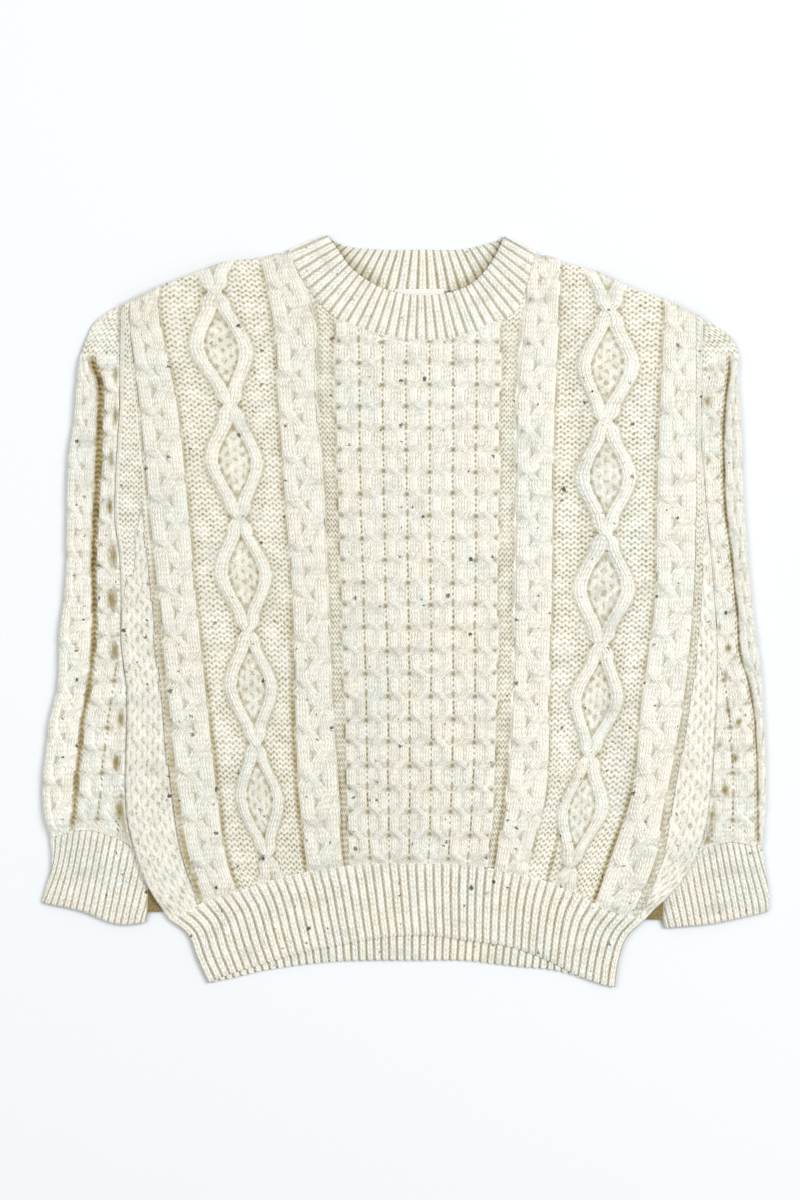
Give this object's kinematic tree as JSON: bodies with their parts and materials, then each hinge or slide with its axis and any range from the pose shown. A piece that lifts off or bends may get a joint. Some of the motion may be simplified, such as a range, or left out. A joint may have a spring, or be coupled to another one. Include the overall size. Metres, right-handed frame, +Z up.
{
  "type": "cable knit sweater",
  "caption": "Chunky cream cable knit crew-neck sweater laid flat, sleeves folded down its sides, with honeycomb and diamond panels and ribbed hem, cuffs and neckband.",
  "frame": {"origin": "centre of the footprint, on the surface that the sweater lies on", "axes": "+X toward the sleeve that lies on the right when looking down at the front, +Y from the hem to the neck, +Z up, away from the surface and out of the front"},
  "size_m": [0.6555, 0.6795, 0.0168],
  "materials": {
    "wool": "soft matt oatmeal wool with dark flecks",
    "label_cloth": "plain woven off-white tape"
  },
  "bodies": {
    "root": {"front_panel": "wool", "back_panel": "wool", "hem_front": "wool", "hem_back": "wool", "sleeve_left": "wool", "sleeve_right": "wool", "cuff_left": "wool", "cuff_right": "wool", "neckband": "wool", "neck_label": "label_cloth"}
  },
  "joints": []
}
